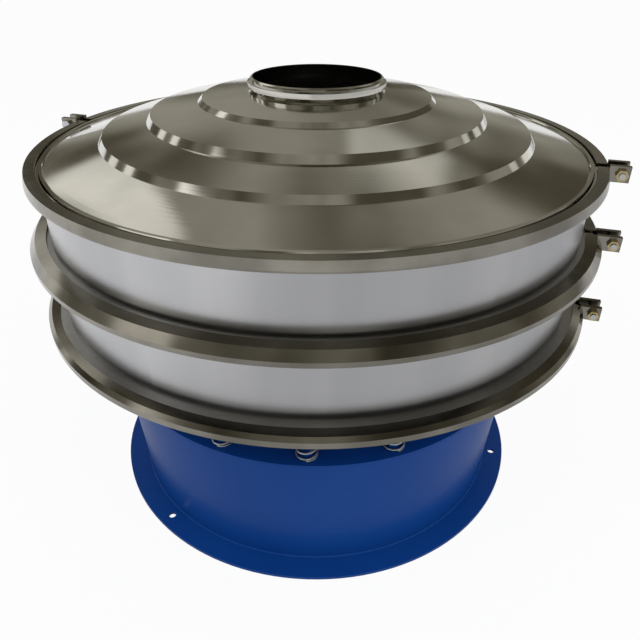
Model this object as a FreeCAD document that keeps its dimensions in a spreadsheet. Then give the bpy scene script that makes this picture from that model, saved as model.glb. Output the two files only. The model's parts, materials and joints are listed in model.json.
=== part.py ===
"""Round vibrating sieve of the 1 m class: one screen deck between two clamped frames, under a stepped
lid with a feed collar, carried on coil springs by a sheet-steel base, and shaken by a vertical motor
with out-of-balance weights at both ends of its shaft.

Millimetres, +Z up. The origin is the centre of the base's bolt circle, on the floor.
"""
import FreeCAD, Part
import Sketcher
import os

SIZES = {
    # base
    "flange_radius": 429, "flange_bore": 352, "flange_thick": 6,
    "floor_bolt_circle": 405, "floor_bolt_hole": 7, "floor_bolt_count": 3, "floor_bolt_azimuth": -15,
    "skirt_foot_radius": 385, "skirt_top_radius": 404, "skirt_height": 244, "skirt_sheet": 4,
    "hand_hole_radius": 60, "hand_hole_height": 125, "hand_hole_azimuth": 90,
    "plate_bore": 325, "plate_thick": 6,
    # springs
    "spring_circle": 378, "spring_count": 16, "spring_azimuth": -92.4,
    "spring_outside": 19, "spring_wire": 4, "spring_length": 74,
    "stud_across": 22, "stud_height": 10,
    # vibrating table
    "table_radius": 414, "table_thick": 6, "table_rise": 69.5, "table_rim_thick": 4.5,
    "table_wall": 4, "table_motor_gap": 3,
    # motor
    "motor_radius": 90, "motor_bore": 80, "motor_above": 42, "motor_below": 180,
    "motor_flange_radius": 150, "motor_flange_thick": 16, "cover_thick": 12,
    "motor_bolt_circle": 126, "motor_bolt_count": 6, "motor_bolt_across": 24, "motor_bolt_head": 10,
    "motor_bolt_shank": 7, "motor_bolt_gap": 0.5,
    "bearing_radius": 45, "bearing_height": 22, "bearing_boss": 10, "bearing_shoulder": 2,
    "shaft_radius": 22, "shaft_running_gap": 0.05, "shaft_cover_gap": 6,
    "core_radius": 60, "core_length": 130, "air_gap": 0.6, "stator_overhang": 6,
    "upper_weight_radius": 125, "upper_weight_thick": 36, "weight_hub_radius": 40,
    "upper_weight_gap": 12, "shaft_end": 8,
    "lower_weight_radius": 115, "lower_weight_thick": 26, "lower_weight_gap": 12,
    "trim_weight_radius": 112, "trim_weight_thick": 22, "trim_weight_gap": 1,
    "weight_spread": 150, "trim_spread": 110,
    "terminal_box_width": 90, "terminal_box_depth": 62, "terminal_box_height": 70,
    "terminal_box_drop": 52, "terminal_box_azimuth": 55,
    "gland_radius": 11, "gland_bore": 6, "gland_length": 24,
    # frames
    "wall_radius": 478, "wall_sheet": 2.5, "rim_radius": 500, "rim_sheet": 3,
    "lower_frame_height": 131, "upper_frame_height": 114, "gasket_thick": 3,
    "dish_top_radius": 130, "dish_top_height": 63, "dish_edge_height": 17, "dish_sheet": 2.5,
    # screen
    "screen_ring_bore": 446, "screen_ring_thick": 3, "screen_gasket_lap": 3, "gasket_bore": 478,
    "mesh_radius": 474, "mesh_thick": 1, "grid_bars": 9, "grid_pitch": 98, "grid_bar_width": 5,
    "grid_bar_depth": 14,
    # outlet spouts
    "spout_width": 170, "spout_reach": 112, "spout_fall": 34, "spout_sheet": 2.5,
    "lower_spout_floor": 33, "lower_spout_height": 78, "lower_spout_azimuth": 60,
    "upper_spout_floor": 22, "upper_spout_height": 66, "upper_spout_azimuth": 120,
    # lid
    "lid_sheet": 2.5, "lid_rim_radius": 494, "lid_bead_outer": 476, "lid_bead_inner": 467,
    "lid_bead_rise": 4.5, "lid_bead_bevel": 2, "lid_brim_rise": 2,
    "lid_low_radius": 378, "lid_low_rise": 23.2, "lid_riser_run": 7.5, "lid_low_riser": 11.1,
    "lid_mid_radius": 296, "lid_mid_rise": 16, "lid_mid_riser": 11.7,
    "lid_high_radius": 207, "lid_high_rise": 14.1, "lid_high_riser": 7.4,
    "lid_crown_rise": 9.6,
    # feed collar
    "collar_bore": 111, "collar_sheet": 2, "collar_foot_radius": 125, "collar_height": 21,
    "collar_bead_radius": 120.5, "collar_bead_low": 5.5, "collar_bead_high": 13.5,
    "collar_groove_high": 16, "collar_lip": 4.5, "collar_lip_thick": 3,
    # clamp rings
    "clamp_sheet": 2.5, "clamp_gap": 18, "clamp_azimuth": -17,
    "lid_clamp_lip": 480, "lid_clamp_shoulder": 497, "lid_clamp_edge": 500,
    "lid_clamp_top": 4.5, "lid_clamp_edge_drop": 13, "lid_clamp_depth": 15.8, "lid_clamp_lip_rise": 0,
    "deck_clamp_lip": 487, "deck_clamp_shoulder": 505, "deck_clamp_edge": 515,
    "deck_clamp_top": 6.5, "deck_clamp_edge_drop": 13.5, "deck_clamp_depth": 21.5, "deck_clamp_lip_rise": 1.5,
    "base_clamp_lip": 494, "base_clamp_shoulder": 507, "base_clamp_edge": 513.5,
    "base_clamp_top": 5.5, "base_clamp_edge_drop": 6, "base_clamp_depth": 16, "base_clamp_lip_rise": 4.5,
    "lug_reach": 30, "lug_height": 26, "lug_thick": 9,
    "clamp_bolt_radius": 5, "clamp_bolt_gap": 0.5, "clamp_bolt_offset": 17,
    "clamp_bolt_across": 17, "clamp_bolt_head": 7, "clamp_nut_thick": 9, "clamp_bolt_tail": 12,
}

# Heights and radii that follow from the sizes, each from the one below it
LEVELS = {
    "plate_under": "dim.flange_thick + dim.skirt_height",
    "plate_top": "level.plate_under + dim.plate_thick",
    "table_under": "level.plate_top + dim.spring_length",
    "table_top": "level.table_under + dim.table_thick",
    "table_rim_under": "level.table_under + dim.table_rise",
    "table_rim_top": "level.table_rim_under + dim.table_rim_thick",
    "lower_frame_foot": "level.table_rim_top + dim.gasket_thick",
    "lower_frame_top": "level.lower_frame_foot + dim.lower_frame_height",
    "screen_under": "level.lower_frame_top + dim.gasket_thick",
    "screen_top": "level.screen_under + dim.screen_ring_thick",
    "upper_frame_foot": "level.screen_top + dim.gasket_thick",
    "upper_frame_top": "level.upper_frame_foot + dim.upper_frame_height",
    "lid_rim_under": "level.upper_frame_top + dim.gasket_thick",
    "lid_rim_top": "level.lid_rim_under + dim.lid_sheet",
    "lid_low": "level.lid_rim_top + dim.lid_brim_rise + dim.lid_low_rise",
    "lid_mid": "level.lid_low + dim.lid_low_riser + dim.lid_mid_rise",
    "lid_high": "level.lid_mid + dim.lid_mid_riser + dim.lid_high_rise",
    "lid_crown": "level.lid_high + dim.lid_high_riser + dim.lid_crown_rise",
    "collar_top": "level.lid_crown + dim.collar_height",
    "wall_inside": "dim.wall_radius - dim.wall_sheet",
    "motor_flange_under": "level.table_under - dim.motor_flange_thick",
    "motor_top": "level.table_under + dim.motor_above",
    "motor_bottom": "level.table_under - dim.motor_below",
    "shaft_hole": "dim.shaft_radius + dim.shaft_cover_gap",
    "stator_bore": "dim.core_radius + dim.air_gap",
    "motor_middle": "(level.motor_top + level.motor_bottom) / 2",
    "upper_weight_under": "level.motor_top + dim.cover_thick + dim.upper_weight_gap",
    "upper_weight_top": "level.upper_weight_under + dim.upper_weight_thick",
    "shaft_top": "level.upper_weight_top + dim.shaft_end",
    "lower_weight_top": "level.motor_bottom - dim.cover_thick - dim.lower_weight_gap",
    "lower_weight_under": "level.lower_weight_top - dim.lower_weight_thick",
    "trim_weight_top": "level.lower_weight_under - dim.trim_weight_gap",
    "trim_weight_under": "level.trim_weight_top - dim.trim_weight_thick",
    "shaft_bottom": "level.trim_weight_under - dim.shaft_end",
    "running_bore": "dim.shaft_radius + dim.shaft_running_gap",
    "lid_clamp_top": "level.lid_rim_top + dim.lid_clamp_top",
    "deck_clamp_top": "level.upper_frame_foot + dim.deck_clamp_top",
    "base_clamp_top": "level.lower_frame_foot + dim.base_clamp_top",
}

doc = FreeCAD.newDocument("vibrating_sieve")
NODES = []


def write_sheet():
    """The driving dimensions, one row each: a name and a plain number with that name as its alias."""
    sheet = doc.addObject("Spreadsheet::Sheet", "dim")
    for row, (name, number) in enumerate(SIZES.items(), start=1):
        sheet.set(f"A{row}", name)
        sheet.set(f"B{row}", str(number))
        sheet.setAlias(f"B{row}", name)
    doc.recompute()
    levels = doc.addObject("App::VarSet", "level")
    for name, formula in LEVELS.items():
        levels.addProperty("App::PropertyFloat", name)
        levels.setExpression(name, formula)
    doc.recompute()
    return levels


LEVEL = write_sheet()


def amount(formula):
    """What a formula over the sheet and the levels comes to, as a float."""
    found = LEVEL.evalExpression(formula)
    return float(getattr(found, "Value", found))


# ---------------------------------------------------------------- sketches

def sketch_on(body, role, lift=None):
    """A sketch on one of the body's own origin planes, moved along the plane's normal by lift."""
    plane = next(item for item in body.Origin.OriginFeatures if item.Role == role)
    sketch = body.newObject("Sketcher::SketchObject", body.Name + "_sketch")
    sketch.AttachmentSupport = (plane, [""])
    sketch.MapMode = "FlatFace"
    if lift:
        sketch.setExpression("AttachmentOffset.Base.z", lift)
    return sketch


def bind(sketch, constraint, formula):
    sketch.setExpression(f"Constraints[{sketch.addConstraint(constraint)}]", formula)


def pin(sketch, line, end, across, up):
    """Ties one end of a line, or the centre of a circle, to its two formulas."""
    for kind, axis, formula in (("DistanceX", -2, across), ("DistanceY", -1, up)):
        size = amount(formula)
        if abs(size) < 1e-7:
            sketch.addConstraint(Sketcher.Constraint("PointOnObject", line, end, axis))
        elif size > 0:
            bind(sketch, Sketcher.Constraint(kind, -1, 1, line, end, size), formula)
        else:
            bind(sketch, Sketcher.Constraint(kind, line, end, -1, 1, -size), f"-({formula})")


def outline(sketch, points):
    """A closed outline of straight lines through points given as pairs of formulas."""
    spots = [FreeCAD.Vector(amount(across), amount(up), 0) for across, up in points]
    first = sketch.GeometryCount
    count = len(points)
    for k in range(count):
        sketch.addGeometry(Part.LineSegment(spots[k], spots[(k + 1) % count]), False)
    for k in range(count):
        following = first + (k + 1) % count
        sketch.addConstraint(Sketcher.Constraint("Coincident", first + k, 2, following, 1))
    for k, (across, up) in enumerate(points):
        pin(sketch, first + k, 1, across, up)


def circle(sketch, across, up, radius):
    spot = FreeCAD.Vector(amount(across), amount(up), 0)
    line = sketch.addGeometry(Part.Circle(spot, FreeCAD.Vector(0, 0, 1), amount(radius)), False)
    bind(sketch, Sketcher.Constraint("Radius", line, amount(radius)), radius)
    pin(sketch, line, 3, across, up)


def rectangle(left, right, low, high):
    return [(left, low), (right, low), (right, high), (left, high)]


def hexagon(across, up, width):
    """Corners of a hexagon of a given width across its flats."""
    return [(f"{across} + {width} / sqrt(3) * cos({60 * k})", f"{up} + {width} / sqrt(3) * sin({60 * k})")
            for k in range(6)]


# ---------------------------------------------------------------- features

def new_body(label, turn=None):
    """An empty body that becomes a node. turn is its azimuth about the machine's axis."""
    body = doc.addObject("PartDesign::Body", label)
    body.Label = label
    body.AllowCompound = True
    body.Placement = FreeCAD.Placement(FreeCAD.Vector(), FreeCAD.Rotation(FreeCAD.Vector(0, 0, 1), 0))
    if turn:
        body.setExpression("Placement.Rotation.Angle", turn)
    NODES.append(body)
    return body


def revolve(body, points, angle="360"):
    """Turns an outline of radius and height pairs about Z, evenly to both sides of the X axis."""
    sketch = sketch_on(body, "XZ_Plane")
    outline(sketch, points)
    feature = body.newObject("PartDesign::Revolution", body.Name + "_turned")
    feature.Profile = sketch
    feature.ReferenceAxis = (sketch, ["V_Axis"])
    feature.Midplane = True
    feature.setExpression("Angle", angle)
    return feature


def turned(label, points):
    body = new_body(label)
    revolve(body, points)
    return body


def ring(label, inside, outside, low, high):
    return turned(label, rectangle(inside, outside, low, high))


def pad(body, sketch, length, midplane=False):
    feature = body.newObject("PartDesign::Pad", body.Name + "_pad")
    feature.Profile = sketch
    feature.Midplane = midplane
    feature.setExpression("Length", length)
    return feature


def cut_through(body, sketch):
    feature = body.newObject("PartDesign::Pocket", body.Name + "_hole")
    feature.Profile = sketch
    feature.Type = 1
    feature.Midplane = True
    return feature


def repeat(body, features, count):
    """Repeats features evenly round the body's Z axis."""
    doc.recompute()
    pattern = body.newObject("PartDesign::PolarPattern", body.Name + "_pattern")
    pattern.Originals = features
    axis = next(item for item in body.Origin.OriginFeatures if item.Role == "Z_Axis")
    pattern.Axis = (axis, [""])
    pattern.Angle = 360
    pattern.setExpression("Occurrences", count)
    body.Tip = pattern
    return pattern


# ---------------------------------------------------------------- base

def base_flange():
    body = new_body("base_flange", "dim.floor_bolt_azimuth")
    revolve(body, rectangle("dim.flange_bore", "dim.flange_radius", "0", "dim.flange_thick"))
    holes = sketch_on(body, "XY_Plane")
    circle(holes, "dim.floor_bolt_circle", "0", "dim.floor_bolt_hole")
    repeat(body, [cut_through(body, holes)], "dim.floor_bolt_count")


def base_skirt():
    """A rolled cone on the flange, with a round hand hole at the back for setting the lower weight."""
    body = new_body("base_skirt", "dim.hand_hole_azimuth")
    foot, top = "dim.flange_thick", "level.plate_under"
    revolve(body, [("dim.skirt_foot_radius - dim.skirt_sheet", foot), ("dim.skirt_foot_radius", foot),
                   ("dim.skirt_top_radius", top), ("dim.skirt_top_radius - dim.skirt_sheet", top)])
    hole = sketch_on(body, "YZ_Plane")
    circle(hole, "0", "dim.hand_hole_height", "dim.hand_hole_radius")
    pocket = body.newObject("PartDesign::Pocket", "hand_hole")
    pocket.Profile = hole
    pocket.Reversed = True
    pocket.setExpression("Length", "dim.skirt_top_radius + dim.skirt_sheet")


def springs():
    """Coil springs, as sleeves of the coil's own outside, bore and length."""
    body = new_body("springs", "dim.spring_azimuth")
    coil = sketch_on(body, "XY_Plane", "level.plate_top")
    circle(coil, "dim.spring_circle", "0", "dim.spring_outside")
    circle(coil, "dim.spring_circle", "0", "dim.spring_outside - dim.spring_wire")
    repeat(body, [pad(body, coil, "dim.spring_length")], "dim.spring_count")


def spring_studs(label, foot):
    """Hexagonal studs that keep the springs' ends in place, one inside each coil."""
    body = new_body(label, "dim.spring_azimuth")
    sketch = sketch_on(body, "XY_Plane", foot)
    outline(sketch, hexagon("dim.spring_circle", "0", "dim.stud_across"))
    repeat(body, [pad(body, sketch, "dim.stud_height")], "dim.spring_count")


# ---------------------------------------------------------------- vibrating table and motor

def vibrating_table():
    """A dished steel pan: a flat floor on the springs, a sloping wall and the rim that is clamped."""
    body = new_body("vibrating_table")
    motor_hole = "dim.motor_radius + dim.table_motor_gap"
    rim_wall = "dim.wall_radius - dim.wall_sheet"
    revolve(body, [(motor_hole, "level.table_under"), ("dim.table_radius", "level.table_under"),
                   (f"{rim_wall} + dim.table_wall", "level.table_rim_under"),
                   ("dim.rim_radius", "level.table_rim_under"), ("dim.rim_radius", "level.table_rim_top"),
                   (rim_wall, "level.table_rim_top"),
                   ("dim.table_radius - dim.table_wall", "level.table_top"),
                   (motor_hole, "level.table_top")])
    holes = sketch_on(body, "XY_Plane", "level.table_under")
    circle(holes, "dim.motor_bolt_circle", "0", "dim.motor_bolt_shank + dim.motor_bolt_gap")
    repeat(body, [cut_through(body, holes)], "dim.motor_bolt_count")


def motor_housing():
    body = new_body("motor_housing")
    wide, slim, bore = "dim.motor_flange_radius", "dim.motor_radius", "dim.motor_bore"
    revolve(body, [(bore, "level.motor_bottom"), (slim, "level.motor_bottom"),
                   (slim, "level.motor_flange_under"), (wide, "level.motor_flange_under"),
                   (wide, "level.table_under"), (slim, "level.table_under"),
                   (slim, "level.motor_top"), (bore, "level.motor_top")])
    holes = sketch_on(body, "XY_Plane", "level.table_under")
    circle(holes, "dim.motor_bolt_circle", "0", "dim.motor_bolt_shank + dim.motor_bolt_gap")
    repeat(body, [cut_through(body, holes)], "dim.motor_bolt_count")


def motor_bolts():
    """Hexagon bolts down through the table and the motor's flange, with a nut under each."""
    body = new_body("motor_bolts")
    head = sketch_on(body, "XY_Plane", "level.table_top")
    outline(head, hexagon("dim.motor_bolt_circle", "0", "dim.motor_bolt_across"))
    heads = pad(body, head, "dim.motor_bolt_head")
    nut = sketch_on(body, "XY_Plane", "level.motor_flange_under - dim.motor_bolt_head")
    outline(nut, hexagon("dim.motor_bolt_circle", "0", "dim.motor_bolt_across"))
    nuts = pad(body, nut, "dim.motor_bolt_head")
    shank = sketch_on(body, "XY_Plane", "level.motor_flange_under")
    circle(shank, "dim.motor_bolt_circle", "0", "dim.motor_bolt_shank")
    shanks = pad(body, shank, "level.table_top - level.motor_flange_under")
    repeat(body, [heads, nuts, shanks], "dim.motor_bolt_count")


def end_cover(label, face, up):
    """A motor end cover: a disc with a shaft hole and, on its inside, the boss of a bearing.
    face is the housing's end, and up is + for the top cover and - for the bottom one."""
    down = "-" if up == "+" else "+"
    out = f"{face} {up} dim.cover_thick"
    seat = f"{face} {up} dim.bearing_shoulder"
    boss_end = f"{seat} {down} dim.bearing_height"
    boss = "dim.bearing_radius + dim.bearing_boss"
    turned(label, [("level.shaft_hole", out), ("dim.motor_radius", out), ("dim.motor_radius", face),
                   (boss, face), (boss, boss_end), ("dim.bearing_radius", boss_end),
                   ("dim.bearing_radius", seat), ("level.shaft_hole", seat)])


def bearing(label, face, up):
    down = "-" if up == "+" else "+"
    seat = f"{face} {up} dim.bearing_shoulder"
    ring(label, "level.running_bore", "dim.bearing_radius", f"{seat} {down} dim.bearing_height", seat)


def stator():
    half = "dim.core_length / 2 + dim.stator_overhang"
    ring("stator", "level.stator_bore", "dim.motor_bore",
         f"level.motor_middle - ({half})", f"level.motor_middle + {half}")


def rotor():
    ring("rotor_core", "dim.shaft_radius", "dim.core_radius",
         "level.motor_middle - dim.core_length / 2", "level.motor_middle + dim.core_length / 2")
    body = new_body("motor_shaft")
    bar = sketch_on(body, "XY_Plane", "level.shaft_bottom")
    circle(bar, "0", "0", "dim.shaft_radius")
    pad(body, bar, "level.shaft_top - level.shaft_bottom")


def eccentric(label, low, high, radius, spread, bore, hub="dim.weight_hub_radius"):
    """An out-of-balance weight: a sector of a disc on a round hub, bored for the shaft."""
    body = new_body(label)
    revolve(body, rectangle(bore, hub, low, high))
    revolve(body, rectangle(f"{hub} - 1", radius, low, high), spread)


def weights():
    eccentric("upper_weight", "level.upper_weight_under", "level.upper_weight_top",
              "dim.upper_weight_radius", "dim.weight_spread", "dim.shaft_radius")
    eccentric("lower_weight", "level.lower_weight_under", "level.lower_weight_top",
              "dim.lower_weight_radius", "dim.weight_spread", "dim.shaft_radius")
    eccentric("adjusting_weight", "level.trim_weight_under", "level.trim_weight_top",
              "dim.trim_weight_radius", "dim.trim_spread", "level.running_bore")


def terminal_box():
    """The motor's connection box, saddled on the housing, and the gland under it."""
    azimuth = "dim.terminal_box_azimuth"
    top = "level.motor_flange_under - dim.terminal_box_drop"
    low = f"{top} - dim.terminal_box_height"
    outside = "dim.motor_radius + dim.terminal_box_depth"
    box = new_body("terminal_box", azimuth)
    plan = sketch_on(box, "XY_Plane", low)
    half = "dim.terminal_box_width / 2"
    outline(plan, rectangle("dim.motor_bore", outside, f"-{half}", half))
    pad(box, plan, "dim.terminal_box_height")
    saddle = sketch_on(box, "XY_Plane", low)
    circle(saddle, "0", "0", "dim.motor_radius")
    cut_through(box, saddle)
    gland = new_body("cable_gland", azimuth)
    neck = sketch_on(gland, "XY_Plane", f"{low} - dim.gland_length")
    across = "dim.motor_radius + dim.terminal_box_depth / 2"
    circle(neck, across, "0", "dim.gland_radius")
    circle(neck, across, "0", "dim.gland_bore")
    pad(gland, neck, "dim.gland_length")


# ---------------------------------------------------------------- frames, dish and screen

def sieve_frame(label, foot, top, top_rim, azimuth, floor, height):
    """A rolled wall with a turned-out rim at each end, and the window that its spout is welded to."""
    body = new_body(label, azimuth)
    revolve(body, [("level.wall_inside", foot), ("dim.rim_radius", foot),
                   ("dim.rim_radius", f"{foot} + dim.rim_sheet"), ("dim.wall_radius", f"{foot} + dim.rim_sheet"),
                   ("dim.wall_radius", f"{top} - dim.rim_sheet"), (top_rim, f"{top} - dim.rim_sheet"),
                   (top_rim, top), ("level.wall_inside", top)])
    window = sketch_on(body, "YZ_Plane")
    half = "dim.spout_width / 2"
    low = f"{foot} + {floor}"
    outline(window, rectangle(f"-{half}", half, low, f"{low} + {height}"))
    pocket = body.newObject("PartDesign::Pocket", label + "_window")
    pocket.Profile = window
    pocket.Reversed = True
    pocket.setExpression("Length", "dim.rim_radius")


def spout(label, foot, azimuth, floor, height):
    """A chute that runs down and away from the window in the wall, open at both ends."""
    body = new_body(label, azimuth)
    near, far = "level.wall_inside", "dim.wall_radius + dim.spout_reach"
    low, high = f"{foot} + {floor}", f"{foot} + {floor} + {height}"
    fall = "dim.spout_fall"
    sheet = "dim.spout_sheet"
    side = sketch_on(body, "XZ_Plane")
    outline(side, [(near, f"{low} - {sheet}"), (far, f"{low} - {sheet} - {fall}"),
                   (far, f"{high} + {sheet} - {fall}"), (near, f"{high} + {sheet}")])
    pad(body, side, f"dim.spout_width + 2 * {sheet}", midplane=True)
    hollow = sketch_on(body, "XZ_Plane")
    outline(hollow, [(near, low), (far, f"{low} - {fall}"), (far, f"{high} - {fall}"), (near, high)])
    passage = body.newObject("PartDesign::Pocket", label + "_passage")
    passage.Profile = hollow
    passage.Midplane = True
    passage.setExpression("Length", "dim.spout_width")
    wall = sketch_on(body, "XY_Plane")
    circle(wall, "0", "0", "dim.wall_radius")
    cut_through(body, wall)


def dish():
    """The lower deck: a low cone over the upper weight that sheds the fines towards the wall."""
    top = "level.lower_frame_foot + dim.dish_top_height"
    edge = "level.lower_frame_foot + dim.dish_edge_height"
    turned("bottom_dish", [("0", f"{top} - dim.dish_sheet"), ("dim.dish_top_radius", f"{top} - dim.dish_sheet"),
                           ("level.wall_inside", f"{edge} - dim.dish_sheet"), ("level.wall_inside", edge),
                           ("dim.dish_top_radius", top), ("0", top)])


def screen():
    ring("screen_frame", "dim.screen_ring_bore", "dim.rim_radius - dim.screen_gasket_lap",
         "level.screen_under", "level.screen_top")
    ring("screen_mesh", "0", "dim.mesh_radius", "level.screen_top", "level.screen_top + dim.mesh_thick")
    lap = "dim.rim_radius - dim.screen_gasket_lap"
    turned("screen_gasket", [("dim.gasket_bore", "level.lower_frame_top"),
                             ("dim.rim_radius", "level.lower_frame_top"),
                             ("dim.rim_radius", "level.upper_frame_foot"),
                             ("dim.gasket_bore", "level.upper_frame_foot"),
                             ("dim.gasket_bore", "level.screen_top"), (lap, "level.screen_top"),
                             (lap, "level.screen_under"), ("dim.gasket_bore", "level.screen_under")])


def support_grid():
    """Flat bars on edge, crossing under the mesh, ended on the bore of the screen's ring."""
    bars = []
    low = "level.screen_top - dim.grid_bar_depth"
    for turn in (0, 90):
        for k in range(int(SIZES["grid_bars"])):
            bar = doc.addObject("Part::Box", f"grid_bar_{turn}_{k}")
            bar.setExpression("Length", "2 * dim.screen_ring_bore")
            bar.setExpression("Width", "dim.grid_bar_width")
            bar.setExpression("Height", "dim.grid_bar_depth")
            aside = f"({k} - (dim.grid_bars - 1) / 2) * dim.grid_pitch"
            along, across = ("x", "y") if turn == 0 else ("y", "x")
            bar.Placement.Rotation = FreeCAD.Rotation(FreeCAD.Vector(0, 0, 1), turn)
            side = "-" if turn == 0 else "+"
            bar.setExpression(f"Placement.Base.{along}", "-dim.screen_ring_bore")
            bar.setExpression(f"Placement.Base.{across}", f"{aside} {side} dim.grid_bar_width / 2")
            bar.setExpression("Placement.Base.z", low)
            bars.append(bar)
    lattice = doc.addObject("Part::MultiFuse", "grid_lattice")
    lattice.Shapes = bars
    lattice.Refine = True
    bound = doc.addObject("Part::Cylinder", "grid_bound")
    bound.setExpression("Radius", "dim.screen_ring_bore")
    bound.setExpression("Height", "dim.grid_bar_depth")
    bound.setExpression("Placement.Base.z", low)
    grid = doc.addObject("Part::Common", "support_grid")
    grid.Base = lattice
    grid.Tool = bound
    grid.Label = "support_grid"
    NODES.append(grid)


# ---------------------------------------------------------------- lid and feed collar

def lid_surface():
    """The lid's upper surface from its rim to the collar: four shallow cones with three risers."""
    run = "dim.lid_riser_run"
    brim = "level.lid_rim_top + dim.lid_brim_rise"
    bead = "level.lid_rim_top + dim.lid_bead_rise"
    return [
        ("dim.lid_rim_radius", "level.lid_rim_top"), ("dim.lid_bead_outer", "level.lid_rim_top"),
        ("dim.lid_bead_outer - dim.lid_bead_bevel", bead),
        ("dim.lid_bead_inner + dim.lid_bead_bevel", bead), ("dim.lid_bead_inner", brim),
        ("dim.lid_low_radius", "level.lid_low"),
        (f"dim.lid_low_radius - {run}", "level.lid_low + dim.lid_low_riser"),
        ("dim.lid_mid_radius", "level.lid_mid"),
        (f"dim.lid_mid_radius - {run}", "level.lid_mid + dim.lid_mid_riser"),
        ("dim.lid_high_radius", "level.lid_high"),
        (f"dim.lid_high_radius - {run}", "level.lid_high + dim.lid_high_riser"),
        ("dim.collar_foot_radius", "level.lid_crown")]


def lid():
    """One spun sheet: the same surface above and, a sheet's thickness lower, below."""
    upper = lid_surface()
    lower = [(radius, f"{height} - dim.lid_sheet") for radius, height in reversed(upper)]
    turned("lid", upper + lower)


def feed_collar():
    """An open neck with a rolled lip, a groove and a bead, and a foot welded into the lid."""
    foot = "level.lid_crown"
    wall = "dim.collar_bore + dim.collar_sheet"
    turned("feed_collar", [
        ("dim.collar_bore", f"{foot} - dim.lid_sheet"), ("dim.collar_foot_radius", f"{foot} - dim.lid_sheet"),
        ("dim.collar_foot_radius", foot), (wall + " + dim.collar_sheet", f"{foot} + dim.collar_sheet"),
        ("dim.collar_bead_radius", f"{foot} + dim.collar_bead_low"),
        ("dim.collar_bead_radius", f"{foot} + dim.collar_bead_high"),
        (wall, f"{foot} + dim.collar_groove_high"),
        ("dim.collar_bore + dim.collar_lip", "level.collar_top - dim.collar_lip_thick / 2"),
        (wall, "level.collar_top"), ("dim.collar_bore", "level.collar_top")])


# ---------------------------------------------------------------- clamp rings

class Clamp:
    """A two-part channel ring that draws two rims together, bolted through lugs at both joints."""

    def __init__(self, name):
        self.name = name
        self.lip = f"dim.{name}_lip"
        self.shoulder = f"dim.{name}_shoulder"
        self.edge = f"dim.{name}_edge"
        self.top = f"level.{name}_top"
        self.foot = f"({self.top} - dim.{name}_depth)"
        self.middle = f"(({self.top} + {self.foot}) / 2)"
        self.edge_high = f"({self.top} - dim.{name}_edge_drop)"
        self.bolt = f"({self.edge} + dim.clamp_bolt_offset)"

    def section(self):
        """The channel: a lip over the upper rim, a sloping face to the edge and a leg under the
        lower rim."""
        sheet = "dim.clamp_sheet"
        lip_top = f"{self.top} + dim.{self.name}_lip_rise"
        return [(self.lip, lip_top), (self.shoulder, self.top), (self.edge, self.edge_high),
                (self.edge, self.foot), (self.lip, self.foot), (self.lip, f"{self.foot} + {sheet}"),
                (f"{self.edge} - {sheet}", f"{self.foot} + {sheet}"), (f"{self.edge} - {sheet}", self.edge_high),
                (f"{self.shoulder} - {sheet} / 2", f"{self.top} - {sheet}"),
                (self.lip, f"{lip_top} - {sheet}")]

    def half(self, label, turn):
        """Half of the ring, centred on its own X axis, with a lug at each end."""
        body = new_body(label, f"dim.clamp_azimuth {turn}")
        gap_angle = f"2 * asin(dim.clamp_gap / 2 / {self.edge})"
        revolve(body, self.section(), f"180 deg - {gap_angle}")
        lugs = sketch_on(body, "YZ_Plane", "dim.clamp_gap / 2")
        low = f"{self.middle} - dim.lug_height / 2"
        high = f"{self.middle} + dim.lug_height / 2"
        near, far = f"({self.edge} - dim.clamp_sheet / 2)", f"({self.edge} + dim.lug_reach)"
        hole = "dim.clamp_bolt_radius + dim.clamp_bolt_gap"
        face = [(near, low), (far, low), (far, high), (self.shoulder, high),
                (self.shoulder, f"{self.top} - dim.clamp_sheet / 2"), (near, self.edge_high)]
        outline(lugs, face)
        outline(lugs, [(f"-({across})", up) for across, up in face])
        circle(lugs, self.bolt, self.middle, hole)
        circle(lugs, f"-{self.bolt}", self.middle, hole)
        pad(body, lugs, "dim.lug_thick")

    def bolts(self, label):
        """A hexagon bolt across each joint, its head on one lug."""
        body = new_body(label, "dim.clamp_azimuth - 90")
        outside = "(dim.clamp_gap / 2 + dim.lug_thick)"
        shank = sketch_on(body, "YZ_Plane", f"-{outside}")
        circle(shank, self.bolt, self.middle, "dim.clamp_bolt_radius")
        shanks = pad(body, shank, f"2 * {outside} + dim.clamp_bolt_tail")
        head = sketch_on(body, "YZ_Plane", f"-{outside} - dim.clamp_bolt_head")
        outline(head, hexagon(self.bolt, self.middle, "dim.clamp_bolt_across"))
        heads = pad(body, head, "dim.clamp_bolt_head")
        repeat(body, [shanks, heads], "2")

    def nuts(self, label):
        body = new_body(label, "dim.clamp_azimuth - 90")
        nut = sketch_on(body, "YZ_Plane", "dim.clamp_gap / 2 + dim.lug_thick")
        outline(nut, hexagon(self.bolt, self.middle, "dim.clamp_bolt_across"))
        circle(nut, self.bolt, self.middle, "dim.clamp_bolt_radius")
        repeat(body, [pad(body, nut, "dim.clamp_nut_thick")], "2")

    def build(self):
        self.half(f"{self.name}_front", "- 90")
        self.half(f"{self.name}_rear", "+ 90")
        self.bolts(f"{self.name}_bolts")
        self.nuts(f"{self.name}_nuts")


# ---------------------------------------------------------------- the machine

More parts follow.
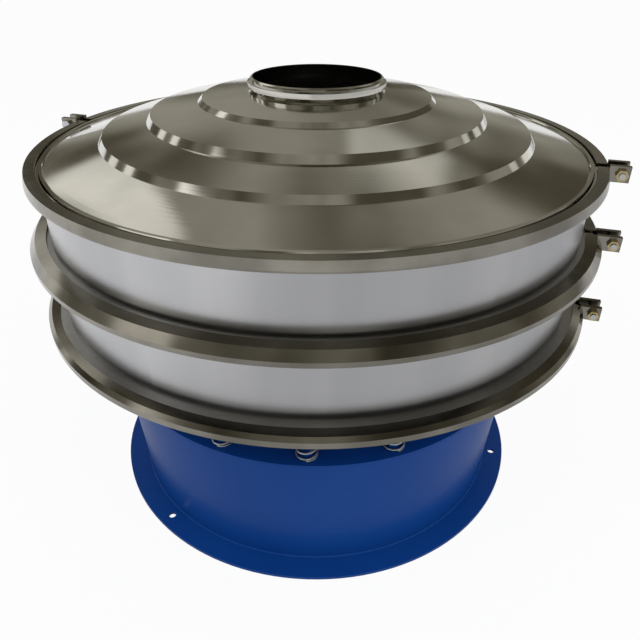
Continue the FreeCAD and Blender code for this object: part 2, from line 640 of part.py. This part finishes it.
def build_machine():
    base_flange()
    base_skirt()
    ring("base_top_plate", "dim.plate_bore", "dim.skirt_top_radius", "level.plate_under", "level.plate_top")
    springs()
    spring_studs("lower_spring_studs", "level.plate_top")
    spring_studs("upper_spring_studs", "level.table_under - dim.stud_height")
    vibrating_table()
    motor_housing()
    motor_bolts()
    end_cover("motor_top_cover", "level.motor_top", "+")
    end_cover("motor_bottom_cover", "level.motor_bottom", "-")
    bearing("upper_bearing", "level.motor_top", "+")
    bearing("lower_bearing", "level.motor_bottom", "-")
    stator()
    rotor()
    weights()
    terminal_box()
    ring("bottom_gasket", "dim.gasket_bore", "dim.rim_radius", "level.table_rim_top", "level.lower_frame_foot")
    sieve_frame("lower_frame", "level.lower_frame_foot", "level.lower_frame_top", "dim.rim_radius",
                "dim.lower_spout_azimuth", "dim.lower_spout_floor", "dim.lower_spout_height")
    spout("lower_spout", "level.lower_frame_foot", "dim.lower_spout_azimuth",
          "dim.lower_spout_floor", "dim.lower_spout_height")
    dish()
    screen()
    support_grid()
    sieve_frame("upper_frame", "level.upper_frame_foot", "level.upper_frame_top", "dim.lid_rim_radius",
                "dim.upper_spout_azimuth", "dim.upper_spout_floor", "dim.upper_spout_height")
    spout("upper_spout", "level.upper_frame_foot", "dim.upper_spout_azimuth",
          "dim.upper_spout_floor", "dim.upper_spout_height")
    ring("lid_gasket", "dim.gasket_bore", "dim.lid_rim_radius", "level.upper_frame_top", "level.lid_rim_under")
    lid()
    feed_collar()
    for name in ("lid_clamp", "deck_clamp", "base_clamp"):
        Clamp(name).build()


def write_parts():
    """Checks every object of the document, and then writes one file for each node."""
    doc.recompute()
    failed = [item.Label for item in doc.Objects if {"Invalid", "Error"} & set(item.State)]
    broken = [node.Label for node in NODES if node.Shape.isNull() or not node.Shape.isValid()]
    if failed or broken:
        raise RuntimeError(f"failed objects: {failed}, broken shapes: {broken}")
    os.makedirs("parts", exist_ok=True)
    for node in NODES:
        node.Shape.exportStep(os.path.join("parts", node.Label + ".step"))
        box = node.Shape.BoundBox
        print(f"{node.Label:22s} solids {len(node.Shape.Solids):2d}  volume {node.Shape.Volume / 1000:9.1f} cm3"
              f"  z {box.ZMin:7.1f} {box.ZMax:7.1f}")


build_machine()
write_parts()
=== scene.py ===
"""Looks of a round vibrating sieve: polished lid, satin frames, blue base and steel springs."""
import json
import math

import bmesh
import bpy
from mathutils import Matrix, Vector


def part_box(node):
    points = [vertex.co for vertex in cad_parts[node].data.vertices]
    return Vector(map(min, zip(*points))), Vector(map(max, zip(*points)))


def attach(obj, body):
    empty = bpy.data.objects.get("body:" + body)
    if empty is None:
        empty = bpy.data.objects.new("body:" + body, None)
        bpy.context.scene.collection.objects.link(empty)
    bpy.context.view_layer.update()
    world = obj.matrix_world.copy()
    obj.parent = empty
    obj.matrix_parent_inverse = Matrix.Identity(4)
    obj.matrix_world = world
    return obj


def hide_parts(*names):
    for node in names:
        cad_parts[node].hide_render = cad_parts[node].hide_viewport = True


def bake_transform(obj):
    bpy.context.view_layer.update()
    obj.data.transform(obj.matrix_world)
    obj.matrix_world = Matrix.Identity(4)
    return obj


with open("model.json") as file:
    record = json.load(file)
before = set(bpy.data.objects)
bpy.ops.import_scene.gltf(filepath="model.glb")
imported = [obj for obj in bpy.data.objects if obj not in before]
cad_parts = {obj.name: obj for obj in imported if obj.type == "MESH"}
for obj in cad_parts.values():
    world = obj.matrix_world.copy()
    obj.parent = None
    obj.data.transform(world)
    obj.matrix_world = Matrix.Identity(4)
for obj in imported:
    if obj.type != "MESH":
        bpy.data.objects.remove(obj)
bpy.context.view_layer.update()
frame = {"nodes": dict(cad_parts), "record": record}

MM = 0.001
UP = Vector((0, 0, 1))


# ---------------------------------------------------------------- camera

LENS, SENSOR = 34.84, 36.0
CAMERA_PLACE = (0, -1.1339, 0.9843)
PITCH, YAW, ROLL = 31.654, 0.371, 0.262


def place_camera():
    """A wide lens close in front of the sieve and a little above its lid, looking down on it."""
    data = bpy.data.cameras.new("camera")
    data.lens, data.sensor_width = LENS, SENSOR
    data.clip_start, data.clip_end = 0.01, 100
    camera = bpy.data.objects.new("camera", data)
    bpy.context.scene.collection.objects.link(camera)
    turn = Matrix.Rotation(math.radians(-YAW), 4, "Z")
    tilt = Matrix.Rotation(math.radians(90 - PITCH), 4, "X")
    lean = Matrix.Rotation(math.radians(ROLL), 4, "Z")
    camera.matrix_world = Matrix.Translation(CAMERA_PLACE) @ turn @ tilt @ lean
    bpy.context.scene.camera = camera


place_camera()
bpy.context.scene.view_settings.view_transform = "Standard"


class Signal:
    """A value that runs through a material's nodes, so that shader maths reads as plain arithmetic."""

    def __init__(self, finish, socket):
        self.finish, self.socket = finish, socket

    def maths(self, operation, *values):
        sockets = dict(enumerate(values))
        return self.finish.node("Math", {"operation": operation}, sockets)

    def __add__(self, other):
        return self.maths("ADD", self, other)

    def __radd__(self, other):
        return self.maths("ADD", other, self)

    def __mul__(self, other):
        return self.maths("MULTIPLY", self, other)

    def __rmul__(self, other):
        return self.maths("MULTIPLY", other, self)

    def __pow__(self, other):
        return self.maths("POWER", self, other)


# sockets whose names aren't their key with capitals
SOCKETS = {"specular_ior_level": "Specular IOR Level"}


class Finish:
    """A material's node tree with one Principled shader."""

    def __init__(self, name, **constants):
        self.material = bpy.data.materials.new(name)
        self.material.use_nodes = True
        self.tree = self.material.node_tree
        self.shader = self.tree.nodes["Principled BSDF"]
        self.feed(**constants)

    def feed(self, **values):
        """Sets or links sockets of the shader, such as base_color or coat_weight."""
        for key, value in values.items():
            name = SOCKETS.get(key, key.replace("_", " ").title())
            self.connect(value, self.shader.inputs[name])
        return self

    def connect(self, value, socket):
        if isinstance(value, Signal):
            self.tree.links.new(value.socket, socket)
        elif isinstance(value, (tuple, list)) and len(value) == 3 and socket.type == "RGBA":
            socket.default_value = (*value, 1)
        else:
            socket.default_value = value

    def node(self, kind, settings, sockets, output=0):
        """Any shader node by its type: settings first, then its sockets' values or links."""
        made = self.tree.nodes.new("ShaderNode" + kind)
        for key, value in settings.items():
            setattr(made, key, value)
        for key, value in sockets.items():
            self.connect(value, made.inputs[key])
        return Signal(self, made.outputs[output])

    def place(self):
        return self.node("TexCoord", {}, {}, "Object")

    def parts(self, vector):
        """The three numbers of a vector."""
        split = self.tree.nodes.new("ShaderNodeSeparateXYZ")
        self.tree.links.new(vector.socket, split.inputs[0])
        return [Signal(self, out) for out in split.outputs]

    def stretched(self, x, y, z):
        """The place on the object with each direction scaled."""
        return self.node("VectorMath", {"operation": "MULTIPLY"}, {0: self.place(), 1: (x, y, z)})

    def noise(self, scale, detail=3, roughness=0.5, vector=None):
        return self.node("TexNoise", {}, {"Vector": vector or self.place(), "Scale": scale,
                                          "Detail": detail, "Roughness": roughness}, "Fac")

    def span(self, value, low, high, out_low=0, out_high=1):
        """Maps low..high of a value onto another range and holds it there."""
        return self.node("MapRange", {"clamp": True, "interpolation_type": "SMOOTHSTEP"},
                         {"Value": value, "From Min": low, "From Max": high,
                          "To Min": out_low, "To Max": out_high})

    def mix(self, factor, first, second):
        """A colour between two colours."""
        return self.node("Mix", {"data_type": "RGBA"}, {0: factor, 6: first, 7: second}, 2)

    def bump(self, height, depth, strength=1.0):
        return self.node("Bump", {}, {"Height": height, "Distance": depth, "Strength": strength})

    def around(self):
        """The angle round the machine's axis, from 0 to 1, and the distance from that axis."""
        x, y, _ = self.parts(self.place())
        angle = self.node("Math", {"operation": "ARCTAN2"}, {0: y, 1: x})
        return angle * (0.5 / math.pi) + 0.5, (x * x + y * y) ** 0.5


def new_piece(name, mesh, material, body=None):
    """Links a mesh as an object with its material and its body."""
    piece = bpy.data.objects.new(name, mesh)
    bpy.context.scene.collection.objects.link(piece)
    mesh.materials.append(material)
    if body:
        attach(piece, body)
    return piece


def plain_mesh(name, points, faces, smooth=True):
    """A mesh from its points and faces."""
    mesh = bpy.data.meshes.new(name)
    mesh.from_pydata(points, [], faces)
    mesh.polygons.foreach_set("use_smooth", [smooth] * len(faces))
    mesh.update()
    return mesh


def grid_mesh(name, rows, closed_u=False, closed_v=False):
    """A mesh through a grid of points; rows may close on themselves either way."""
    count, width = len(rows), len(rows[0])
    faces = []
    for i in range(count if closed_u else count - 1):
        for j in range(width if closed_v else width - 1):
            a, b = i * width, ((i + 1) % count) * width
            k = (j + 1) % width
            faces.append((a + j, b + j, b + k, a + k))
    return plain_mesh(name, [point for row in rows for point in row], faces)


# ---------------------------------------------------------------- studio

# place round the axis in radians from +X, half width, lowest and highest sine of height, brightness
WINDOWS = (
    (2.62, 0.06, 0.12, 0.70, 1.6),
    (2.86, 0.05, 0.10, 0.55, 2.0),
    (2.20, 0.07, 0.40, 0.80, 0.8),
    (-2.70, 0.18, 0.25, 0.62, 1.3),
    (-1.45, 0.30, 0.30, 0.42, 1.1),
    (0.42, 0.05, 0.12, 0.50, 0.6),
    (0.66, 0.07, 0.12, 0.45, 0.7),
    (1.30, 0.16, 0.60, 0.74, 0.4),
)
WINDOW_LIGHT = (1.0, 0.99, 0.95, 1)
HALL_DARK, HALL_PALE = (0.095, 0.083, 0.058, 1), (0.36, 0.345, 0.29, 1)
SKY, SKY_STRENGTH = (0.95, 0.97, 1.0, 1), 0.8
FLOOR_REACH, HALL_RADIUS, HALL_FOOT = 14.0, 6.0, math.radians(9)
# name, place, watts
LAMPS = (("key lamp", (-2.6, -2.2, 3.6), 55), ("fill lamp", (2.6, -2.4, 2.4), 45))
LAMP_SIZE, LAMP_TARGET = 2.4, Vector((0, 0, 0.4))


def stage_nodes(tree):
    """A helper that adds a node to a stage tree, with its settings and its sockets' values or links."""
    def add(kind, settings=None, sockets=None, output=0):
        made = tree.nodes.new("ShaderNode" + kind)
        for key, value in (settings or {}).items():
            setattr(made, key, value)
        for key, value in (sockets or {}).items():
            if isinstance(value, bpy.types.NodeSocket):
                tree.links.new(value, made.inputs[key])
            else:
                made.inputs[key].default_value = value
        return made.outputs[output] if made.outputs else None
    return add


def build_world():
    """White to the eye and in polish, and an even pale sky for matt surfaces."""
    world = bpy.data.worlds.new("studio")
    world.use_nodes = True
    bpy.context.scene.world = world
    tree = world.node_tree
    tree.nodes.clear()
    add = stage_nodes(tree)
    ambient = add("Background", {}, {"Color": SKY, "Strength": SKY_STRENGTH})
    plain = add("Background", {}, {"Color": (1, 1, 1, 1), "Strength": 1.0})
    add("OutputWorld", {}, {0: add("MixShader", {}, {0: seen_plainly(tree, add), 1: ambient, 2: plain})})


def seen_plainly(tree, add):
    """One for rays from the eye, from polish and through glass, and nought for all others."""
    path = tree.nodes.new("ShaderNodeLightPath").outputs
    either = add("Math", {"operation": "MAXIMUM"}, {0: path["Is Camera Ray"], 1: path["Is Glossy Ray"]})
    return add("Math", {"operation": "MAXIMUM"}, {0: either, 1: path["Is Transmission Ray"]})


def soft_edge(add, value, start, end):
    """Nought before the start and one past the end, with a soft step between."""
    return add("MapRange", {"clamp": True, "interpolation_type": "SMOOTHSTEP"},
               {"Value": value, "From Min": start, "From Max": end})


def product(add, first, second):
    return add("Math", {"operation": "MULTIPLY"}, {0: first, 1: second})


def window(add, turn, height, middle_turn, half_turn, low, high, glow):
    """A bright upright patch of the hall, with soft edges."""
    off = add("Math", {"operation": "ABSOLUTE"},
              {0: add("Math", {"operation": "SUBTRACT"}, {0: turn, 1: middle_turn})})
    side = soft_edge(add, off, half_turn * 1.2, half_turn * 0.8)
    rise = product(add, soft_edge(add, height, low - 0.03, low + 0.03),
                   soft_edge(add, height, high + 0.04, high - 0.04))
    return product(add, product(add, side, rise), glow)


def hall_finish():
    """A dim brown hall with tall windows."""
    material = bpy.data.materials.new("dim hall")
    material.use_nodes = True
    tree = material.node_tree
    tree.nodes.clear()
    add = stage_nodes(tree)
    place = add("VectorMath", {"operation": "NORMALIZE"}, {0: add("TexCoord", output=3)})
    split = tree.nodes.new("ShaderNodeSeparateXYZ")
    tree.links.new(place, split.inputs[0])
    x, y, height = split.outputs
    turn = add("Math", {"operation": "ARCTAN2"}, {0: y, 1: x})
    cloudy = add("TexNoise", {}, {"Vector": place, "Scale": 2.3, "Detail": 2.0, "Roughness": 0.5})
    room = add("Mix", {"data_type": "RGBA"},
               {0: soft_edge(add, cloudy, 0.4, 0.64), 6: HALL_DARK, 7: HALL_PALE}, 2)
    glow = 0.0
    for patch in WINDOWS:
        glow = add("Math", {"operation": "ADD"}, {0: glow, 1: window(add, turn, height, *patch)})
    lit = add("Mix", {"data_type": "RGBA", "blend_type": "ADD"}, {0: 1.0, 6: room, 7: WINDOW_LIGHT}, 2)
    lit = add("Mix", {"data_type": "RGBA"}, {0: glow, 6: room, 7: lit}, 2)
    add("OutputMaterial", {}, {0: add("Emission", {}, {"Color": lit, "Strength": 1.0})})
    return material


def build_hall():
    """The dim hall that the machine stands in, which shows only in polished metal."""
    steps, around = 12, 48
    rows = []
    for i in range(steps + 1):
        lift = HALL_FOOT + (math.pi / 2 - HALL_FOOT) * i / steps
        wide, high = HALL_RADIUS * math.cos(lift), HALL_RADIUS * math.sin(lift)
        turns = [2 * math.pi * j / around for j in range(around)]
        rows.append([(wide * math.cos(turn), wide * math.sin(turn), high) for turn in turns])
    hall = new_piece("hall", grid_mesh("hall", rows, closed_v=True), hall_finish())
    hall.visible_camera = hall.visible_diffuse = False
    hall.visible_transmission = hall.visible_shadow = False


def floor_finish():
    """Matt and pale under lamps, nearly white to the eye, and a little greyer on the right in polish."""
    material = bpy.data.materials.new("pale floor")
    material.use_nodes = True
    tree = material.node_tree
    tree.nodes.clear()
    add = stage_nodes(tree)
    matt = add("BsdfDiffuse", {}, {"Color": (0.8, 0.8, 0.8, 1)})
    split = tree.nodes.new("ShaderNodeSeparateXYZ")
    tree.links.new(add("TexCoord", output=3), split.inputs[0])
    left = add("MapRange", {"clamp": True, "interpolation_type": "SMOOTHSTEP"},
               {"Value": split.outputs[0], "From Min": -0.35, "From Max": -1.0,
                "To Min": 0.66, "To Max": 1.0})
    mirrored = tree.nodes.new("ShaderNodeLightPath").outputs["Is Glossy Ray"]
    strength = add("Mix", {"data_type": "FLOAT"}, {0: mirrored, 2: 1.0, 3: left})
    white = add("Emission", {}, {"Color": (1, 1, 1, 1), "Strength": strength})
    share = product(add, seen_plainly(tree, add), 0.93)
    add("OutputMaterial", {}, {0: add("MixShader", {}, {0: share, 1: matt, 2: white})})
    return material


def build_floor():
    near, far = -FLOOR_REACH, FLOOR_REACH
    rows = [[(near, near, 0), (far, near, 0)], [(near, far, 0), (far, far, 0)]]
    new_piece("floor", grid_mesh("floor", rows), floor_finish())


def build_lamps():
    """Two soft square lamps, in front on the left and on the right."""
    for name, place, power in LAMPS:
        data = bpy.data.lights.new(name, "AREA")
        data.size, data.energy = LAMP_SIZE, power
        lamp = bpy.data.objects.new(name, data)
        bpy.context.scene.collection.objects.link(lamp)
        lamp.location = place
        lamp.visible_glossy = False
        lamp.rotation_euler = (LAMP_TARGET - Vector(place)).to_track_quat("-Z", "Y").to_euler()


def build_studio():
    """A pale floor in an even white surround, a dim hall for polish, and two soft lamps."""
    build_world()
    build_hall()
    build_floor()
    build_lamps()


build_studio()


# ---------------------------------------------------------------- finishes

def satin_sheet():
    """Rolled sheet: a fine upright grain, with soft broad upright bands round the drum painted lighter and
    darker as a mild painted reflection, a little rougher where lighter.
    """
    finish = Finish("satin stainless sheet", metallic=1.0, anisotropic=0.4)
    turn, _ = finish.around()
    sheen_bands = finish.noise(1.0, 3, 0.5, finish.node("CombineXYZ", {}, {"X": turn * 17.0}))
    haze = finish.noise(9.0, 3)
    # painted reflection: the sheen bands lighten and darken the sheet's colour round the drum
    finish.feed(base_color=finish.mix(finish.span(sheen_bands, 0.3, 0.7), (0.44, 0.445, 0.46), (0.54, 0.54, 0.55)),
                roughness=0.24 + sheen_bands * 0.07 + haze * 0.05)
    grain = finish.noise(120.0, 2, 0.6, finish.stretched(14.0, 14.0, 0.6))
    return finish.feed(normal=finish.bump(grain, 0.00004)).material


def mirror_polish():
    """Spun and buffed lid: near mirror, with faint buffing rings and a little haze."""
    finish = Finish("mirror polished stainless", metallic=1.0)
    haze = finish.noise(7.0, 4)
    turn, radius = finish.around()
    rings = finish.noise(1.0, 3, 0.6, finish.node("CombineXYZ", {}, {"X": radius * 420.0, "Y": turn * 3.0}))
    waves = finish.noise(5.0, 1, 0.4)
    finish.feed(base_color=finish.mix(finish.span(haze, 0.3, 0.7), (0.5, 0.49, 0.45), (0.6, 0.59, 0.55)),
                roughness=0.05 + haze * 0.05 + rings * 0.04)
    height = rings * 0.02 + waves
    return finish.feed(normal=finish.bump(height, 0.0016)).material


def shaded_clamp_band():
    """Clamp rings: rolled channel, buffed along its length, with painted shade: the lid's stainless painted
    darker and browner.
    """
    finish = Finish("clamp band with painted shade", metallic=1.0)
    haze = finish.noise(11.0, 4)
    _, radius = finish.around()
    lines = finish.noise(1.0, 3, 0.6, finish.node("CombineXYZ", {}, {"X": radius * 900.0}))
    # painted shade: the band's colour is kept far darker than the lid's stainless
    finish.feed(base_color=finish.mix(finish.span(haze, 0.3, 0.7), (0.19, 0.18, 0.155), (0.3, 0.285, 0.25)),
                roughness=0.1 + haze * 0.07 + lines * 0.05)
    return finish.feed(normal=finish.bump(lines, 0.00004)).material


def blue_enamel():
    """Gloss enamel sprayed on sheet steel: deep blue with a slight orange-peel skin."""
    finish = Finish("blue gloss enamel", metallic=0.0, coat_roughness=0.1, coat_weight=0.04,
                    specular_ior_level=0.08)
    mottled = finish.noise(6.0, 4)
    finish.feed(base_color=finish.mix(mottled, (0.003, 0.036, 0.18), (0.005, 0.05, 0.23)),
                roughness=0.3 + mottled * 0.14)
    return finish.feed(normal=finish.bump(finish.noise(160.0, 2), 0.00012)).material


WIRE_PITCH = 2 * MM


def woven_wire():
    """Fine woven stainless wire cloth, 2 mm from wire to wire, with painted shade where the wires dip under
    one another.
    """
    finish = Finish("woven stainless wire", metallic=1.0)
    x, y, _ = finish.parts(finish.place())
    wires = 2 * math.pi / WIRE_PITCH
    over = x.maths("SINE", x * wires) * y.maths("SINE", y * wires)
    # painted shade: the colour darkens where the weave's height is low
    finish.feed(base_color=finish.mix(over * 0.5 + 0.5, (0.16, 0.16, 0.16), (0.56, 0.56, 0.57)),
                roughness=0.3 + finish.noise(40.0) * 0.1)
    return finish.feed(normal=finish.bump(over, 0.0004)).material


def plated(name, dark, pale, rough):
    """Bright plating with a faint crystal mottle."""
    finish = Finish(name, metallic=1.0)
    mottled = finish.noise(60.0, 4)
    finish.feed(base_color=finish.mix(mottled, dark, pale), roughness=rough + mottled * 0.15)
    return finish.feed(normal=finish.bump(finish.noise(900.0, 2), 0.00003)).material


def dull(name, dark, pale, rough, scale=80.0, depth=0.0002, metallic=0.0):
    """A dull skin with a fine uneven grain, such as cast metal, rubber or matt paint."""
    finish = Finish(name, metallic=metallic)
    mottled = finish.noise(scale, 4)
    finish.feed(base_color=finish.mix(mottled, dark, pale), roughness=rough + mottled * 0.12)
    return finish.feed(normal=finish.bump(finish.noise(scale * 6, 3), depth)).material


FINISHES = {
    "blue_paint": blue_enamel(),
    "polished_stainless": mirror_polish(),
    "stainless_sheet": satin_sheet(),
    "wire_mesh": woven_wire(),
    "zinc_steel": plated("bright zinc plate", (0.42, 0.43, 0.44), (0.62, 0.63, 0.64), 0.22),
    "yellow_zinc": plated("yellow zinc plate", (0.42, 0.33, 0.15), (0.62, 0.52, 0.28), 0.24),
    "motor_paint": dull("grey motor paint", (0.05, 0.09, 0.14), (0.07, 0.12, 0.18), 0.4),
    "core_steel": dull("laminated core steel", (0.16, 0.16, 0.17), (0.24, 0.24, 0.25), 0.5, metallic=1.0),
    "cast_weight": dull("painted cast iron", (0.05, 0.05, 0.055), (0.09, 0.09, 0.1), 0.55),
    "ground_steel": plated("ground steel", (0.5, 0.5, 0.5), (0.62, 0.62, 0.62), 0.2),
    "terminal_aluminium": dull("cast aluminium", (0.4, 0.41, 0.42), (0.5, 0.51, 0.52), 0.45, metallic=1.0),
    "gland_nylon": dull("black nylon", (0.012, 0.012, 0.013), (0.02, 0.02, 0.022), 0.5),
    "gasket_rubber": dull("black rubber", (0.008, 0.008, 0.008), (0.016, 0.016, 0.016), 0.6),
}


def dress_nodes():
    """Gives each solid of the frame the finish of its slot, and the clamp rings one of their own, a darker
    copy of the stainless with painted shade.
    """
    band = shaded_clamp_band()
    for part in frame["record"]["subparts"]:
        name = part["node"]
        ring = "_clamp_" in name and name.endswith(("front", "rear"))
        for place in frame["nodes"][name].material_slots:
            place.material = band if ring else FINISHES[part["material_slot"]]


dress_nodes()


# ---------------------------------------------------------------- springs

def loose_parts(node):
    """The corners of each separate solid of a node, as lists of points."""
    shape = bmesh.new()
    shape.from_mesh(frame["nodes"][node].data)
    bmesh.ops.remove_doubles(shape, verts=shape.verts, dist=1e-6)
    seen, groups = set(), []
    for first in shape.verts:
        if first in seen:
            continue
        seen.add(first)
        group, edge = [], [first]
        while edge:
            corner = edge.pop()
            group.append(corner.co.copy())
            for link in corner.link_edges:
                other = link.other_vert(corner)
                if other not in seen:
                    seen.add(other)
                    edge.append(other)
        groups.append(group)
    shape.free()
    return groups


def middle(points):
    """The middle of the box round some points, and its low and high corners."""
    low = Vector([min(p[i] for p in points) for i in range(3)])
    high = Vector([max(p[i] for p in points) for i in range(3)])
    return (low + high) / 2, low, high


def wire_ring(centre, out, radius, count):
    """Points round a wire or bead, in the upright plane that holds the out direction."""
    turns = [2 * math.pi * j / count for j in range(count)]
    return [centre + (out * math.cos(turn) + UP * math.sin(turn)) * radius for turn in turns]


WIRE_RADIUS = 2 * MM
SPRING_TURNS, CLOSED_TURNS = 6.9, 1.0
CLOSED_RISE = 2 * WIRE_RADIUS * 0.9


def coil_height(turn, bottom, top):
    """Height of the wire's middle after some turns: closed at both ends and even between them."""
    if turn < CLOSED_TURNS:
        return bottom + CLOSED_RISE * turn * turn / CLOSED_TURNS
    left = SPRING_TURNS - turn
    if left < CLOSED_TURNS:
        return top - CLOSED_RISE * left * left / CLOSED_TURNS
    lower, upper = bottom + CLOSED_RISE * CLOSED_TURNS, top - CLOSED_RISE * CLOSED_TURNS
    return lower + (upper - lower) * (turn - CLOSED_TURNS) / (SPRING_TURNS - 2 * CLOSED_TURNS)


def build_springs():
    """Round-wire compression springs with closed ends, one for each sleeve of the frame."""
    section, turn_steps = 8, 26
    count = int(SPRING_TURNS * turn_steps)
    points, faces = [], []
    for group in loose_parts("springs"):
        centre, low, high = middle(group)
        coil_radius = (high.x - low.x) / 2 - WIRE_RADIUS
        bottom, top = low.z + WIRE_RADIUS, high.z - WIRE_RADIUS
        start = math.atan2(centre.y, centre.x)
        first = len(points)
        for i in range(count + 1):
            turn = SPRING_TURNS * i / count
            angle = start + 2 * math.pi * turn
            out = Vector((math.cos(angle), math.sin(angle), 0))
            spine = Vector((centre.x, centre.y, coil_height(turn, bottom, top))) + out * coil_radius
            points += wire_ring(spine, out, WIRE_RADIUS, section)
        for i in range(count):
            for j in range(section):
                a, b = first + i * section, first + (i + 1) * section
                k = (j + 1) % section
                faces.append((a + j, a + k, b + k, b + j))
        faces.append(tuple(first + j for j in reversed(range(section))))
        faces.append(tuple(first + count * section + j for j in range(section)))
    mesh = plain_mesh("coil_springs", points, faces)
    piece = new_piece("coil_springs", mesh, FINISHES["zinc_steel"])
    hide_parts("springs")
    low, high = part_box("springs")
    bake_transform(piece)


build_springs()


# ---------------------------------------------------------------- welds and threads

def ring_weld(name, radius, height, size, body, slot):
    """A fillet weld all round the axis, with the small overlapping waves that a welder leaves."""
    steps, section, waves, sways = 720, 8, 240, 7
    rows = []
    for i in range(steps):
        angle = 2 * math.pi * i / steps
        swell = size * (1 + 0.14 * math.sin(waves * angle) + 0.06 * math.sin(sways * angle))
        out = Vector((math.cos(angle), math.sin(angle), 0))
        rows.append(wire_ring(out * radius + UP * height, out, swell, section))
    mesh = grid_mesh(name, rows, closed_u=True, closed_v=True)
    new_piece(name, mesh, FINISHES[slot], body=body)


def build_skirt_weld():
    """The weld between the foot of the skirt and the floor flange."""
    inset, size = 1 * MM, 3 * MM
    skirt_low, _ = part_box("base_skirt")
    _, flange_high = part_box("base_flange")
    corners = [corner.co for corner in frame["nodes"]["base_skirt"].data.vertices]
    foot = max(math.hypot(p.x, p.y) for p in corners if p.z < skirt_low.z + MM)
    ring_weld("skirt_foot_weld", foot + inset, flange_high.z + inset, size, "base", "blue_paint")


THREAD_PITCH, THREAD_LENGTH, THREAD_LEAD_IN = 1.5 * MM, 17 * MM, 0.8 * MM
THREAD_ROOT, THREAD_CREST = 4.9 * MM, 5.45 * MM
THREAD_FLANK = 0.42 * THREAD_PITCH


def free_end(points):
    """The centre of a clamp bolt's free end, the way out from the axis, and the way into the bolt."""
    reach = 2 * MM
    centre, _, _ = middle(points)
    away = Vector((centre.x, centre.y, 0)).normalized()
    along = Vector((-away.y, away.x, 0))

    def place(point):
        return (point - centre).dot(along)

    ends = []
    for end, inward in ((min(map(place, points)), 1), (max(map(place, points)), -1)):
        near = [p for p in points if abs(place(p) - end) < reach]
        width = max((p - centre - along * place(p)).length for p in near)
        ends.append((width, end, inward, near))
    _, end, inward, near = min(ends, key=lambda entry: entry[0])
    axle, _, _ = middle(near)
    return axle - along * (place(axle) - end), away, along * inward


def cut_threads(node):
    """Rolled threads on the free end of each clamp bolt of a node."""
    turn_steps = 20
    profile = ((THREAD_ROOT, -THREAD_FLANK), (THREAD_CREST, 0.0), (THREAD_ROOT, THREAD_FLANK))
    count = int(THREAD_LENGTH / THREAD_PITCH * turn_steps)
    points, faces = [], []
    for corners in loose_parts(node):
        tip, away, inward = free_end(corners)
        first = len(points)
        for i in range(count + 1):
            angle = 2 * math.pi * i / turn_steps
            spoke = away * math.cos(angle) + UP * math.sin(angle)
            depth = THREAD_LEAD_IN + THREAD_PITCH * i / turn_steps
            points += [tip + spoke * radius + inward * (depth + shift) for radius, shift in profile]
        for i in range(count):
            for j in range(2):
                a, b = first + 3 * i + j, first + 3 * (i + 1) + j
                faces.append((a, b, b + 1, a + 1))
    mesh = plain_mesh(node + "_threads", points, faces, smooth=False)
    new_piece(node + "_threads", mesh, FINISHES["zinc_steel"], body="deck")


build_skirt_weld()
for clamp in ("lid_clamp", "deck_clamp", "base_clamp"):
    cut_threads(clamp + "_bolts")
